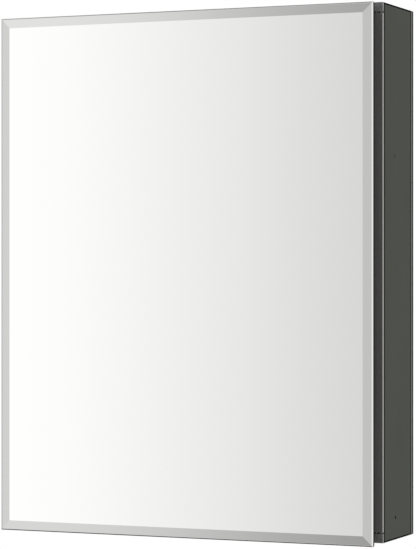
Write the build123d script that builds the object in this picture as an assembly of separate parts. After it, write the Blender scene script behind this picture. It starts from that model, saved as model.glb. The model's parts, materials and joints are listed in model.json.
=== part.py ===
"""Wall-hung medicine cabinet: aluminium body, three glass shelves and a bevelled mirror door.

Frame: the origin is the centre of the face that lies on the wall, +Z is up,
+X is the viewer's right and the door faces -Y. All lengths are millimetres.
"""
from build123d import *
import os

# ---------------------------------------------------------------- driving dimensions
BODY_WIDTH = 518.0
BODY_HEIGHT = 659.0
BODY_DEPTH = 116.0
WALL = 2.0                      # wall of the body's extruded sides, top and bottom
SIDE_COVER_THICKNESS = 1.2
BEAD_PROUD = 1.5                # how far the rounded front and rear beads stand out sideways
FRONT_BEAD_DEPTH = 2.4
REAR_BEAD_DEPTH = 8.0
FRONT_BEAD_ROUNDING = 1.2
REAR_BEAD_ROUNDING = 1.2
COVER_GAP = 3.2                 # shadow gap between a side cover and each bead
COVER_REVEAL = 2.1              # the side cover stops this far from the top and bottom edges
SIDE_FLANGE = 19.0              # width of the front flange, measured from the bead
REAR_FLANGE = 16.0
RETURN_LIP = 8.0                # depth of the lip behind the front flange's inner edge
RETURN_LIP_WALL = 1.5
CORNER_BLOCK_HEIGHT = 11.5
CORNER_BLOCK_DEPTH = 13.0
CORNER_SEAM = 1.5               # gap between a corner block and the side's flange
WALL_SEAL_DEPTH = 4.0
WALL_SEAL_INSET = 0.2           # the wall seal stops this far inside the rear bead
CORNER_BLOCK_ROUNDING = 0.8
HOLE_CAP_RIM = 0.5              # the cap's rim reaches this far past its hole
HOLE_CAP_THICKNESS = 0.3

DOOR_WIDTH = 508.0
DOOR_HEIGHT = 660.0
DOOR_DROP = 2.0                 # the door hangs this much below the body
GLASS_THICKNESS = 5.0
BEVEL_WIDTH = 12.7
BEVEL_DROP = 1.2
EDGING_REACH = 3.5              # depth of the black edging behind the rim of the glass
EDGING_INSET = 0.6
TAPE_THICKNESS = 1.0
TAPE_WIDTH = 12.0
FRAME_INSET = 7.0               # door frame's distance inside the edge of the glass
FRAME_WIDTH = 18.0
FRAME_DEPTH = 16.0
FRAME_WALL = 1.4
FRAME_FIN = 8.0                 # lip that the inner mirror lies against
CORNER_KEY_ARM = 28.0           # how far a corner key runs into each frame member
DOOR_GAP = 3.0                  # door frame to body flange
INNER_MIRROR_THICKNESS = 3.0

BACK_SHEET = 1.2
BACK_MIRROR_THICKNESS = 3.0
WALL_SCREW_SPACING_X = 406.4
WALL_SCREW_SPACING_Z = 558.8
WALL_SCREW_HOLE_R = 3.2
MIRROR_HOLE_R = 9.0
BACK_MIRROR_MARGIN = 1.0
RIVET_R = 1.5
RIVET_HEAD_R = 2.8
RIVET_HEAD_HEIGHT = 1.0
SIDE_RIVET_FROM_FLANGE = 2.25   # rivet centres, in from the inner edge of a side's rear flange
SIDE_RIVET_LEVELS = [-250.0, -85.0, 85.0, 250.0]
TOP_RIVET_FROM_FLANGE = 5.0     # rivet centres, in from the edge of the top's rear flange
TOP_RIVET_PLACES = [-150.0, 0.0, 150.0]

SIDE_HOLE_R = 2.25
SIDE_HOLE_FROM_FRONT = 47.0
LOWER_SIDE_HOLE_Z = -302.0
UPPER_SIDE_HOLE_Z = 144.0

SHELF_THICKNESS = 5.0
SHELF_WIDTH = 491.0
SHELF_FRONT = -105.0
SHELF_BACK = -8.0
SHELF_CHAMFER = 0.8
SHELF_LEVELS = {"lower": -152.5, "middle": 7.5, "upper": 167.5}    # undersides of the shelves

TRACK_WIDTH = 16.0
TRACK_RISE = 4.0
TRACK_SHEET = 1.2
TRACK_LENGTH = 600.0
TRACK_PITCH = 20.0
TRACK_CENTRES_Y = {"front": -80.0, "rear": -40.0}
SLOT_WIDTH = 2.8
SLOT_HEIGHT = 9.0
TRACK_END_MARGIN = 30.0         # the last slots stay this far from the ends of a track
TRACK_RIVET_R = 1.3
TRACK_RIVET_HEAD_R = 2.4
TRACK_RIVET_HEAD_HEIGHT = 0.7
TRACK_RIVET_LEVEL = 290.0
CLIP_SHEET = 1.6
CLIP_REACH = 12.0
CLIP_HALF_WIDTH = 6.0
CLIP_DROP = 7.5                 # centre of the slot that a clip hooks into, below the glass
CLIP_FOOT = 5.0                 # the upright's end, below the slot's centre
CLIP_NECK_HALF_WIDTH = 1.2
CLIP_NECK = (-2.0, 3.5)         # heights of the neck about the slot's centre
CLIP_HOOK_LOW = -6.5            # lower end of the hook, about the slot's centre
CLIP_HOOK_DEPTH = 1.2           # how far the hook stands behind the track's sheet

PORT_R = 3.6                    # screw ports inside the side extrusions
PORT_BORE_R = 1.9
FRONT_PORT = (248.0, -110.0)
REAR_PORT = (251.5, -20.0)
ASSEMBLY_SCREW_R = 1.8
ASSEMBLY_HEAD_R = 3.4
FRONT_HEAD_HEIGHT = 2.0
REAR_HEAD_HEIGHT = 1.6
ASSEMBLY_SCREW_LENGTH = 22.0

HINGE_LENGTH = 600.0
KNUCKLE_COUNT = 21
KNUCKLE_R = 2.75
HINGE_BORE_R = 1.45
HINGE_PIN_R = 1.4
LEAF_SHEET = 1.2
BODY_LEAF_WIDTH = 9.0
DOOR_LEAF_WIDTH = 13.4
KNUCKLE_CLEARANCE = 0.15        # taken off each end of a knuckle
LEAF_NOTCH = 0.5                # room between a leaf and the other leaf's knuckles
PIN_OVERHANG = 1.0
PIN_HEAD_HEIGHT = 1.2
PIN_HEAD_R = 2.25
HINGE_SCREW_R = 1.3
HINGE_SCREW_HEAD_R = 2.3
HINGE_SCREW_LENGTH = 7.0
BODY_LEAF_SCREW_X = 5.8         # body leaf's screws, from the pin's centre
DOOR_LEAF_SCREW_Y = 9.0         # door leaf's screws, from the pin's centre
HINGE_SCREW_LEVELS = [-270.0, -180.0, -90.0, 0.0, 90.0, 180.0, 270.0]

CATCH_Z = -70.0
CATCH_HEIGHT = 28.0
CATCH_NOSE = 9.5                # how far the nose reaches in from the flange's edge
CATCH_FACE_PROUD = 0.4
CATCH_FOOT_Y = (-105.4, -95.0)
CATCH_WINDOW_Y = (-103.0, -97.0)
CATCH_WINDOW_MARGIN = 4.0
CATCH_EDGE_GAP = 1.0            # catch to the flange's inner edge
CATCH_SCREW_Y = -100.0
CATCH_SCREW_OFFSETS = (-7.0, 7.0)
CATCH_SCREW_LENGTH = 16.5
CATCH_SCREW_R = 1.4
CATCH_SCREW_HEAD_R = 2.8
CATCH_SCREW_HEAD_HEIGHT = 1.6
MAGNET_PROUD = 1.0
MAGNET_DEPTH = 8.0
MAGNET_HALF_HEIGHT = 9.0
MAGNET_X = (-8.5, -3.0)         # from the flange's inner edge
STRIKE_SHEET = 1.4
STRIKE_X = (-9.5, -2.0)         # from the flange's inner edge
STRIKE_HALF_HEIGHT = 20.0
STRIKE_ROUNDING = 2.0
STRIKE_SCREW_OFFSETS = (-14.0, 14.0)
STRIKE_SCREW_LENGTH = 8.0
STRIKE_HEAD_HEIGHT = 1.2
BUMPER_FROM_EDGE = 3.5
BUMPER_SQUASH = 0.2
BUMPER_CROWN = 0.8
BUMPER_R = 3.0
BUMPER_LEVEL = 290.0
RUNNING_GAP = 0.2
HOLE_GAP = 0.1
EDGING_SINK = 0.1               # the edging sits this far below the face of the side cover
THROUGH = 20.0                  # length of a cutter that goes right through a wall
CLEAR = 1.0                     # how far a cutter runs past a surface
TOUCH = 0.5                     # overlap that joins two shapes into one
RIVET_CROWN = 0.55              # a rivet head's top radius over its base radius

RIGHT = (1, 0, 0)
TO_WALL = (0, 1, 0)
TO_FRONT = (0, -1, 0)
UP = (0, 0, 1)
DOWN = (0, 0, -1)

# ---------------------------------------------------------------- places worked out from them
FLANGE_Y = -BODY_DEPTH
FRAME_BACK_Y = FLANGE_Y - DOOR_GAP
FRAME_FRONT_Y = FRAME_BACK_Y - FRAME_DEPTH
GLASS_BACK_Y = FRAME_FRONT_Y - TAPE_THICKNESS
GLASS_FRONT_Y = GLASS_BACK_Y - GLASS_THICKNESS
BEAD_X = BODY_WIDTH / 2
WEB_X = BEAD_X - BEAD_PROUD
WEB_INNER_X = WEB_X - WALL
FLANGE_EDGE_X = BEAD_X - SIDE_FLANGE
REAR_FLANGE_EDGE_X = BEAD_X - REAR_FLANGE
TOP_Z = BODY_HEIGHT / 2
BLOCK_Z = TOP_Z - CORNER_BLOCK_HEIGHT
FLANGE_END_Z = BLOCK_Z - CORNER_SEAM
TRACK_FACE_X = WEB_INNER_X - TRACK_RISE
SIDE_HOLE_Y = FLANGE_Y + SIDE_HOLE_FROM_FRONT
COVER_FACE_X = WEB_X + SIDE_COVER_THICKNESS
COVER_FRONT_Y = FLANGE_Y + FRONT_BEAD_DEPTH + COVER_GAP
COVER_BACK_Y = -REAR_BEAD_DEPTH - COVER_GAP
COVER_END_Z = TOP_Z - COVER_REVEAL
CATCH_X = FLANGE_EDGE_X - CATCH_EDGE_GAP
FRAME_HALF_WIDTH = DOOR_WIDTH / 2 - FRAME_INSET
FRAME_HALF_HEIGHT = DOOR_HEIGHT / 2 - FRAME_INSET
HINGE_X = -FRAME_HALF_WIDTH - KNUCKLE_R
HINGE_Y = FLANGE_Y - KNUCKLE_R


def block(x_range, y_range, z_range):
    """A box between two values on each axis."""
    spans = [sorted(pair) for pair in (x_range, y_range, z_range)]
    size = [high - low for low, high in spans]
    middle = [(high + low) / 2 for low, high in spans]
    return Pos(*middle) * Box(*size)


def rod(start, direction, length, radius):
    """A cylinder from a start point along a direction."""
    plane = Plane(origin=start, z_dir=direction)
    return plane * Cylinder(radius, length, align=(Align.CENTER, Align.CENTER, Align.MIN))


def cone(start, direction, length, radius_start, radius_end):
    """A cone frustum from a start point along a direction."""
    plane = Plane(origin=start, z_dir=direction)
    return plane * Cone(radius_start, radius_end, length, align=(Align.CENTER, Align.CENTER, Align.MIN))


def flat_screw(start, direction, length, shank_r, head_r, head_height, grow=0.0):
    """A countersunk screw whose flat head starts at a surface; grow makes its clearance hole."""
    head = cone(start, direction, head_height, head_r + grow, shank_r + grow)
    shank = rod(start, direction, length, shank_r + grow)
    return head + shank


def rivet(start, direction, grip, shank_r, head_r, head_height):
    """A dome-headed rivet: the head stands behind the start point, the shank fills the grip."""
    back = Vector(*start) - Vector(*direction) * head_height
    head = cone(back, direction, head_height, head_r * RIVET_CROWN, head_r)
    return head + rod(start, direction, grip, shank_r)


def facing_front(y):
    """Plane across the cabinet at a depth, seen from the front: its own axes run along X and Z."""
    return Plane(origin=(0, y, 0), x_dir=(1, 0, 0), z_dir=(0, -1, 0))


def mirror_x(shape):
    """The same shape on the other side of the cabinet."""
    return mirror(shape, about=Plane.YZ)


def mirror_z(shape):
    """The same shape turned upside down."""
    return mirror(shape, about=Plane.XY)


def cut(shape, cutters):
    """The shape with every cutter taken away."""
    for cutter in cutters:
        shape -= cutter
    return shape


def both_sides(shapes):
    """Shapes together with their left-hand twins."""
    return list(shapes) + [mirror_x(shape) for shape in shapes]


# ---------------------------------------------------------------- body shell
def screw_port(centre, web_end_y):
    """A round screw port with a rib to the wall it hangs from, as tall as the side."""
    x, y = centre
    height = 2 * FLANGE_END_Z
    ring = rod((x, y, -FLANGE_END_Z), UP, height, PORT_R)
    rib = block((x - WALL / 2, x + WALL / 2), (y, web_end_y), (-FLANGE_END_Z, FLANGE_END_Z))
    bore = rod((x, y, -FLANGE_END_Z), UP, height, PORT_BORE_R)
    return ring + rib - bore


def rear_port():
    """The rear screw port, set against the side's web, as tall as the room under the top."""
    x, y = REAR_PORT
    reach = TOP_Z - WALL
    ring = rod((x, y, -reach), UP, 2 * reach, PORT_R)
    rib = block((x, WEB_INNER_X), (y - WALL, y + WALL), (-reach, reach))
    bore = rod((x, y, -reach), UP, 2 * reach, PORT_BORE_R)
    return ring + rib - bore


def side_fixing_holes(radius):
    """Cutters for the two fixing holes in the right-hand side."""
    return [rod((WEB_INNER_X - CLEAR, SIDE_HOLE_Y, z), RIGHT, THROUGH, radius)
            for z in (LOWER_SIDE_HOLE_Z, UPPER_SIDE_HOLE_Z)]


def bead(depth_range, rounding, rounded_depths, reach):
    """Rounded bead along the outside of the right-hand side; its named depths are the rounded corners."""
    bar = block((WEB_X - TOUCH, BEAD_X), depth_range, (-reach, reach))
    corners = [edge for edge in bar.edges().filter_by(Axis.Z).sort_by(Axis.X)[-2:]
               if any(abs(edge.center().Y - depth) < HOLE_GAP for depth in rounded_depths)]
    return fillet(corners, rounding)


def side_extrusion():
    """Right-hand side: web, front flange with a rounded bead, return lip, rear flange and ports."""
    front_end = FLANGE_Y + FRONT_BEAD_DEPTH
    web = block((WEB_INNER_X, WEB_X), (FLANGE_Y, 0), (-TOP_Z, TOP_Z))
    flange = block((FLANGE_EDGE_X, WEB_X), (FLANGE_Y, FLANGE_Y + WALL), (-FLANGE_END_Z, FLANGE_END_Z))
    front_bead = bead((FLANGE_Y, front_end), FRONT_BEAD_ROUNDING, [FLANGE_Y], FLANGE_END_Z)
    lip = block((FLANGE_EDGE_X, FLANGE_EDGE_X + RETURN_LIP_WALL), (FLANGE_Y, FLANGE_Y + RETURN_LIP),
                (-FLANGE_END_Z, FLANGE_END_Z))
    rear_span = (-REAR_BEAD_DEPTH, -WALL_SEAL_DEPTH)
    rear_bead = bead(rear_span, REAR_BEAD_ROUNDING, rear_span, TOP_Z)
    rear_flange = block((REAR_FLANGE_EDGE_X, WEB_X), (-BACK_SHEET - WALL, -BACK_SHEET),
                        (-TOP_Z + WALL, TOP_Z - WALL))
    side = web + flange + front_bead + lip + rear_bead + rear_flange
    side = side + screw_port(FRONT_PORT, FLANGE_Y + WALL) + rear_port()
    corner_space = block((FLANGE_EDGE_X - CLEAR, BEAD_X + CLEAR),
                         (FLANGE_Y - CLEAR, FLANGE_Y + CORNER_BLOCK_DEPTH), (BLOCK_Z, TOP_Z + CLEAR))
    cutters = [corner_space, mirror_z(corner_space)] + side_fixing_holes(SIDE_HOLE_R)
    return cut(side, cutters + track_rivets_right(HOLE_GAP) + back_rivets_right(HOLE_GAP))


def right_side():
    """Right-hand side, drilled for the catch."""
    return cut(side_extrusion(), catch_screw_shapes(HOLE_GAP))


def left_side():
    """Left-hand side, drilled for the hinge."""
    return cut(mirror_x(side_extrusion()), body_hinge_screws(HOLE_GAP))


def side_cover():
    """Dark sheet that covers the right-hand side between its two beads."""
    sheet = block((WEB_X, COVER_FACE_X), (COVER_FRONT_Y, COVER_BACK_Y), (-COVER_END_Z, COVER_END_Z))
    return cut(sheet, side_fixing_holes(SIDE_HOLE_R))


def side_edging():
    """Black edging in the gaps round the right-hand side cover: front, rear, top and bottom strips."""
    across = (WEB_X, COVER_FACE_X - EDGING_SINK)
    height = (-COVER_END_Z, COVER_END_Z)
    front = block(across, (COVER_FRONT_Y - COVER_GAP, COVER_FRONT_Y), height)
    beside_block = block(across, (FLANGE_Y + FRONT_BEAD_DEPTH, COVER_FRONT_Y), (BLOCK_Z, COVER_END_Z))
    rear = block(across, (COVER_BACK_Y, COVER_BACK_Y + COVER_GAP), height)
    depth = (FLANGE_Y + FRONT_BEAD_DEPTH, COVER_BACK_Y + COVER_GAP)
    top = block((WEB_X, COVER_FACE_X), depth, (COVER_END_Z, TOP_Z))
    return [front + beside_block + mirror_z(beside_block), rear, top, mirror_z(top)]


def wall_seal():
    """Foam strip behind the right-hand rear bead, pressed between the cabinet and the wall."""
    reach = TOP_Z - WALL_SEAL_INSET
    return block((WEB_X, BEAD_X - WALL_SEAL_INSET), (-WALL_SEAL_DEPTH, 0), (-reach, reach))


def hole_cap():
    """Small cap that closes the upper fixing hole of the right-hand side."""
    start = (WEB_INNER_X + RUNNING_GAP, SIDE_HOLE_Y, UPPER_SIDE_HOLE_Z)
    plug = rod(start, RIGHT, COVER_FACE_X - start[0], SIDE_HOLE_R - HOLE_GAP)
    rim_start = (COVER_FACE_X, SIDE_HOLE_Y, UPPER_SIDE_HOLE_Z)
    return plug + rod(rim_start, RIGHT, HOLE_CAP_THICKNESS, SIDE_HOLE_R + HOLE_CAP_RIM)


def corner_block():
    """Top right corner block, which ends the front flange and its bead and takes the corner screw."""
    body = block((FLANGE_EDGE_X, WEB_X), (FLANGE_Y, FLANGE_Y + CORNER_BLOCK_DEPTH), (BLOCK_Z, TOP_Z))
    upright = body.edges().filter_by(Axis.Z).sort_by(Axis.X)[-2:]
    body = fillet(upright, CORNER_BLOCK_ROUNDING)
    nose = block((WEB_INNER_X, BEAD_X), (FLANGE_Y, FLANGE_Y + FRONT_BEAD_DEPTH), (BLOCK_Z, TOP_Z))
    return cut(body + nose, front_corner_screws(HOLE_GAP))


def front_corner_screws(grow=0.0):
    """Screw through the top right corner block into the front port."""
    x, y = FRONT_PORT
    return [flat_screw((x, y, TOP_Z), DOWN, ASSEMBLY_SCREW_LENGTH, ASSEMBLY_SCREW_R,
                       ASSEMBLY_HEAD_R, FRONT_HEAD_HEIGHT, grow)]


def rear_corner_screws(grow=0.0):
    """Screw through the top panel into the top right rear port."""
    x, y = REAR_PORT
    return [flat_screw((x, y, TOP_Z), DOWN, ASSEMBLY_SCREW_LENGTH, ASSEMBLY_SCREW_R,
                       ASSEMBLY_HEAD_R, REAR_HEAD_HEIGHT, grow)]


def top_panel():
    """Top of the body: plate, front flange, return lip and rear flange."""
    plate = block((-WEB_INNER_X, WEB_INNER_X), (FLANGE_Y, 0), (TOP_Z - WALL, TOP_Z))
    flange = block((-FLANGE_EDGE_X, FLANGE_EDGE_X), (FLANGE_Y, FLANGE_Y + WALL), (BLOCK_Z, TOP_Z))
    rear = block((-REAR_FLANGE_EDGE_X, REAR_FLANGE_EDGE_X), (-BACK_SHEET - WALL, -BACK_SHEET),
                 (TOP_Z - REAR_FLANGE, TOP_Z - WALL))
    panel = plate + flange + rear
    for x_range in ((FLANGE_EDGE_X, BEAD_X), (-BEAD_X, -FLANGE_EDGE_X)):
        panel -= block(x_range, (FLANGE_Y - CLEAR, FLANGE_Y + CORNER_BLOCK_DEPTH),
                       (BLOCK_Z - CLEAR, TOP_Z + CLEAR))
    return cut(panel, both_sides(rear_corner_screws(HOLE_GAP)) + back_rivets_top(HOLE_GAP))


# ---------------------------------------------------------------- back
def wall_screw_places():
    """Centres of the four wall screws as (x, z)."""
    return [(sx * WALL_SCREW_SPACING_X / 2, sz * WALL_SCREW_SPACING_Z / 2)
            for sx in (-1, 1) for sz in (-1, 1)]


def back_rivets_right(grow=0.0):
    """Rivets that hold the back sheet to the right-hand rear flange."""
    x = REAR_FLANGE_EDGE_X + SIDE_RIVET_FROM_FLANGE
    return [rivet((x, -BACK_SHEET - WALL, z), TO_WALL, BACK_SHEET + WALL, RIVET_R + grow,
                  RIVET_HEAD_R, RIVET_HEAD_HEIGHT) for z in SIDE_RIVET_LEVELS]


def back_rivets_top(grow=0.0):
    """Rivets that hold the back sheet to the top's rear flange."""
    z = TOP_Z - REAR_FLANGE + TOP_RIVET_FROM_FLANGE
    return [rivet((x, -BACK_SHEET - WALL, z), TO_WALL, BACK_SHEET + WALL, RIVET_R + grow,
                  RIVET_HEAD_R, RIVET_HEAD_HEIGHT) for x in TOP_RIVET_PLACES]


def back_panel():
    """Back sheet with four wall screw holes."""
    reach_x = WEB_INNER_X - RUNNING_GAP
    reach_z = TOP_Z - WALL - RUNNING_GAP
    sheet = block((-reach_x, reach_x), (-BACK_SHEET, 0), (-reach_z, reach_z))
    for x, z in wall_screw_places():
        sheet -= rod((x, -THROUGH / 2, z), TO_WALL, THROUGH, WALL_SCREW_HOLE_R)
    top = back_rivets_top(HOLE_GAP)
    return cut(sheet, both_sides(back_rivets_right(HOLE_GAP)) + top + [mirror_z(one) for one in top])


def back_mirror():
    """Mirror that covers the inside of the back, with clearance round the wall screws."""
    reach_x = REAR_FLANGE_EDGE_X - BACK_MIRROR_MARGIN
    reach_z = TOP_Z - REAR_FLANGE - BACK_MIRROR_MARGIN
    sheet = block((-reach_x, reach_x), (-BACK_SHEET - BACK_MIRROR_THICKNESS, -BACK_SHEET),
                  (-reach_z, reach_z))
    for x, z in wall_screw_places():
        sheet -= rod((x, -THROUGH / 2, z), TO_WALL, THROUGH, MIRROR_HOLE_R)
    return sheet


# ---------------------------------------------------------------- shelves
def track_rivets_right(grow=0.0):
    """Rivets of the two right-hand shelf tracks, headed inside."""
    return [rivet((TRACK_FACE_X, y, z), RIGHT, TRACK_RISE + WALL, TRACK_RIVET_R + grow,
                  TRACK_RIVET_HEAD_R, TRACK_RIVET_HEAD_HEIGHT)
            for y in TRACK_CENTRES_Y.values() for z in (-TRACK_RIVET_LEVEL, TRACK_RIVET_LEVEL)]


def shelf_track(centre_y):
    """Right-hand slotted track: a shallow channel whose slots take the shelf clips."""
    half = TRACK_WIDTH / 2
    reach = TRACK_LENGTH / 2
    face = block((TRACK_FACE_X, TRACK_FACE_X + TRACK_SHEET), (centre_y - half, centre_y + half),
                 (-reach, reach))
    for side in (-1, 1):
        edge = centre_y + side * half
        face += block((TRACK_FACE_X, WEB_INNER_X), (edge, edge - side * TRACK_SHEET), (-reach, reach))
    slots_each_way = int((reach - TRACK_END_MARGIN) / TRACK_PITCH)
    for step in range(-slots_each_way, slots_each_way + 1):
        z = step * TRACK_PITCH
        face -= block((TRACK_FACE_X - CLEAR, TRACK_FACE_X + TRACK_SHEET + CLEAR),
                      (centre_y - SLOT_WIDTH / 2, centre_y + SLOT_WIDTH / 2),
                      (z - SLOT_HEIGHT / 2, z + SLOT_HEIGHT / 2))
    return cut(face, track_rivets_right(HOLE_GAP))


def shelf_clip(centre_y, underside):
    """Right-hand shelf clip: ledge under the glass, upright and a hook through a track slot."""
    slot_z = underside - CLIP_DROP
    width = (centre_y - CLIP_HALF_WIDTH, centre_y + CLIP_HALF_WIDTH)
    neck_width = (centre_y - CLIP_NECK_HALF_WIDTH, centre_y + CLIP_NECK_HALF_WIDTH)
    neck_low, neck_high = slot_z + CLIP_NECK[0], slot_z + CLIP_NECK[1]
    sheet_back = TRACK_FACE_X + TRACK_SHEET
    ledge = block((TRACK_FACE_X - CLIP_REACH, TRACK_FACE_X), width, (underside - CLIP_SHEET, underside))
    upright = block((TRACK_FACE_X - CLIP_SHEET, TRACK_FACE_X), width, (slot_z - CLIP_FOOT, underside))
    neck = block((TRACK_FACE_X, sheet_back + CLIP_HOOK_DEPTH), neck_width, (neck_low, neck_high))
    hook = block((sheet_back + RUNNING_GAP, sheet_back + CLIP_HOOK_DEPTH), neck_width,
                 (slot_z + CLIP_HOOK_LOW, neck_high))
    return ledge + upright + neck + hook


def shelf_clips(underside):
    """The four clips under one shelf."""
    right = [shelf_clip(y, underside) for y in TRACK_CENTRES_Y.values()]
    return both_sides(right)


def shelf(underside):
    """Glass shelf with ground edges."""
    glass = block((-SHELF_WIDTH / 2, SHELF_WIDTH / 2), (SHELF_FRONT, SHELF_BACK),
                  (underside, underside + SHELF_THICKNESS))
    return chamfer(glass.edges().group_by(Axis.Y)[0].filter_by(Axis.X), SHELF_CHAMFER)


# ---------------------------------------------------------------- hinge
def knuckle(index):
    """One hinge knuckle, counted from the bottom."""
    pitch = HINGE_LENGTH / KNUCKLE_COUNT
    low = -HINGE_LENGTH / 2 + index * pitch + KNUCKLE_CLEARANCE
    length = pitch - 2 * KNUCKLE_CLEARANCE
    return rod((HINGE_X, HINGE_Y, low), UP, length, KNUCKLE_R), low, low + length


def body_hinge_leaf():
    """Leaf on the body's left flange, with every other knuckle, starting at the bottom."""
    notch = HINGE_X + KNUCKLE_R + LEAF_NOTCH
    leaf = block((notch, HINGE_X + BODY_LEAF_WIDTH), (FLANGE_Y - LEAF_SHEET, FLANGE_Y),
                 (-HINGE_LENGTH / 2, HINGE_LENGTH / 2))
    for index in range(0, KNUCKLE_COUNT, 2):
        tube, low, high = knuckle(index)
        leaf += tube
        leaf += block((HINGE_X, notch), (FLANGE_Y - LEAF_SHEET, FLANGE_Y), (low, high))
    leaf -= rod((HINGE_X, HINGE_Y, -HINGE_LENGTH), UP, 2 * HINGE_LENGTH, HINGE_BORE_R)
    return cut(leaf, body_hinge_screws(HOLE_GAP))


def door_hinge_leaf():
    """Leaf on the door's left stile, with the knuckles between the body's."""
    stile_x = -FRAME_HALF_WIDTH
    notch = HINGE_Y - KNUCKLE_R - LEAF_NOTCH
    leaf = block((stile_x - LEAF_SHEET, stile_x), (HINGE_Y - DOOR_LEAF_WIDTH, notch),
                 (-HINGE_LENGTH / 2, HINGE_LENGTH / 2))
    for index in range(1, KNUCKLE_COUNT, 2):
        tube, low, high = knuckle(index)
        leaf += tube
        leaf += block((stile_x - LEAF_SHEET, stile_x), (notch, HINGE_Y), (low, high))
    leaf -= rod((HINGE_X, HINGE_Y, -HINGE_LENGTH), UP, 2 * HINGE_LENGTH, HINGE_BORE_R)
    return cut(leaf, door_hinge_screws(HOLE_GAP))


def hinge_pin():
    """Steel pin through all the knuckles, with a flat head at the top."""
    reach = HINGE_LENGTH / 2 + PIN_OVERHANG
    pin = rod((HINGE_X, HINGE_Y, -reach), UP, 2 * reach, HINGE_PIN_R)
    return pin + rod((HINGE_X, HINGE_Y, HINGE_LENGTH / 2 + RUNNING_GAP), UP, PIN_HEAD_HEIGHT, PIN_HEAD_R)


def body_hinge_screws(grow=0.0):
    """Countersunk screws from the leaf into the body's left flange."""
    x = HINGE_X + BODY_LEAF_SCREW_X
    return [flat_screw((x, FLANGE_Y - LEAF_SHEET, z), TO_WALL, HINGE_SCREW_LENGTH, HINGE_SCREW_R,
                       HINGE_SCREW_HEAD_R, LEAF_SHEET, grow) for z in HINGE_SCREW_LEVELS]


def door_hinge_screws(grow=0.0):
    """Countersunk screws from the leaf into the door's left stile."""
    y = HINGE_Y - DOOR_LEAF_SCREW_Y
    return [flat_screw((-FRAME_HALF_WIDTH - LEAF_SHEET, y, z), RIGHT, HINGE_SCREW_LENGTH, HINGE_SCREW_R,
                       HINGE_SCREW_HEAD_R, LEAF_SHEET, grow) for z in HINGE_SCREW_LEVELS]


# ---------------------------------------------------------------- catch and bumpers
def catch_screw_shapes(grow=0.0):
    """The two screws that hold the catch to the right-hand side."""
    return [flat_screw((FLANGE_EDGE_X + CATCH_EDGE_GAP, CATCH_SCREW_Y, CATCH_Z + offset), RIGHT,
                       CATCH_SCREW_LENGTH, CATCH_SCREW_R, CATCH_SCREW_HEAD_R, CATCH_SCREW_HEAD_HEIGHT, grow)
            for offset in CATCH_SCREW_OFFSETS]


def catch_housing():
    """Moulded housing that carries the magnet behind the front flange."""
    low, high = CATCH_Z - CATCH_HEIGHT / 2, CATCH_Z + CATCH_HEIGHT / 2
    nose = block((CATCH_X - CATCH_NOSE, CATCH_X),
                 (FLANGE_Y - CATCH_FACE_PROUD, CATCH_FOOT_Y[1]), (low, high))
    foot = block((CATCH_X, WEB_INNER_X), CATCH_FOOT_Y, (low, high))
    window = block((CATCH_X - CATCH_NOSE - CLEAR, FLANGE_EDGE_X + CATCH_EDGE_GAP), CATCH_WINDOW_Y,
                   (low + CATCH_WINDOW_MARGIN, high - CATCH_WINDOW_MARGIN))
    return cut(nose + foot, [catch_magnet(HOLE_GAP), window] + catch_screw_shapes(HOLE_GAP))


def catch_magnet(grow=0.0):
    """The magnet in the nose of the housing."""
    half_height = MAGNET_HALF_HEIGHT + grow
    return block((FLANGE_EDGE_X + MAGNET_X[0] - grow, FLANGE_EDGE_X + MAGNET_X[1] + grow),
                 (FLANGE_Y - MAGNET_PROUD, FLANGE_Y + MAGNET_DEPTH + grow),
                 (CATCH_Z - half_height, CATCH_Z + half_height))


def strike_screws(grow=0.0):
    """Countersunk screws that hold the strike plate to the door's right stile."""
    x = FLANGE_EDGE_X + sum(STRIKE_X) / 2
    return [flat_screw((x, FRAME_BACK_Y + STRIKE_SHEET, CATCH_Z + offset), TO_FRONT, STRIKE_SCREW_LENGTH,
                       HINGE_SCREW_R, HINGE_SCREW_HEAD_R, STRIKE_HEAD_HEIGHT, grow)
            for offset in STRIKE_SCREW_OFFSETS]


def strike_plate():
    """Steel plate on the door that the magnet holds."""
    plate = block((FLANGE_EDGE_X + STRIKE_X[0], FLANGE_EDGE_X + STRIKE_X[1]),
                  (FRAME_BACK_Y, FRAME_BACK_Y + STRIKE_SHEET),
                  (CATCH_Z - STRIKE_HALF_HEIGHT, CATCH_Z + STRIKE_HALF_HEIGHT))
    plate = fillet(plate.edges().filter_by(Axis.Y), STRIKE_ROUNDING)
    return cut(plate, strike_screws(HOLE_GAP))


def bumper(z):
    """Soft round bumper on the right flange, which the door closes against."""
    start = (FLANGE_EDGE_X + BUMPER_FROM_EDGE, FLANGE_Y, z)
    return cone(start, TO_FRONT, DOOR_GAP - BUMPER_SQUASH, BUMPER_R, BUMPER_R - BUMPER_CROWN)


# ---------------------------------------------------------------- door
def bevelled_glass():
    """Mirror glass with a wide flat bevel round its front."""
    half_x, half_z = DOOR_WIDTH / 2, DOOR_HEIGHT / 2
    bevel_y = GLASS_FRONT_Y + BEVEL_DROP
    slab = block((-half_x, half_x), (bevel_y, GLASS_BACK_Y), (-half_z, half_z))
    face_width, face_height = DOOR_WIDTH - 2 * BEVEL_WIDTH, DOOR_HEIGHT - 2 * BEVEL_WIDTH
    outer = facing_front(bevel_y) * Rectangle(DOOR_WIDTH, DOOR_HEIGHT)
    inner = facing_front(GLASS_FRONT_Y) * Rectangle(face_width, face_height)
    crown = loft([outer.face(), inner.face()])
    return Pos(0, 0, -DOOR_DROP) * (slab + crown)


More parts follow.
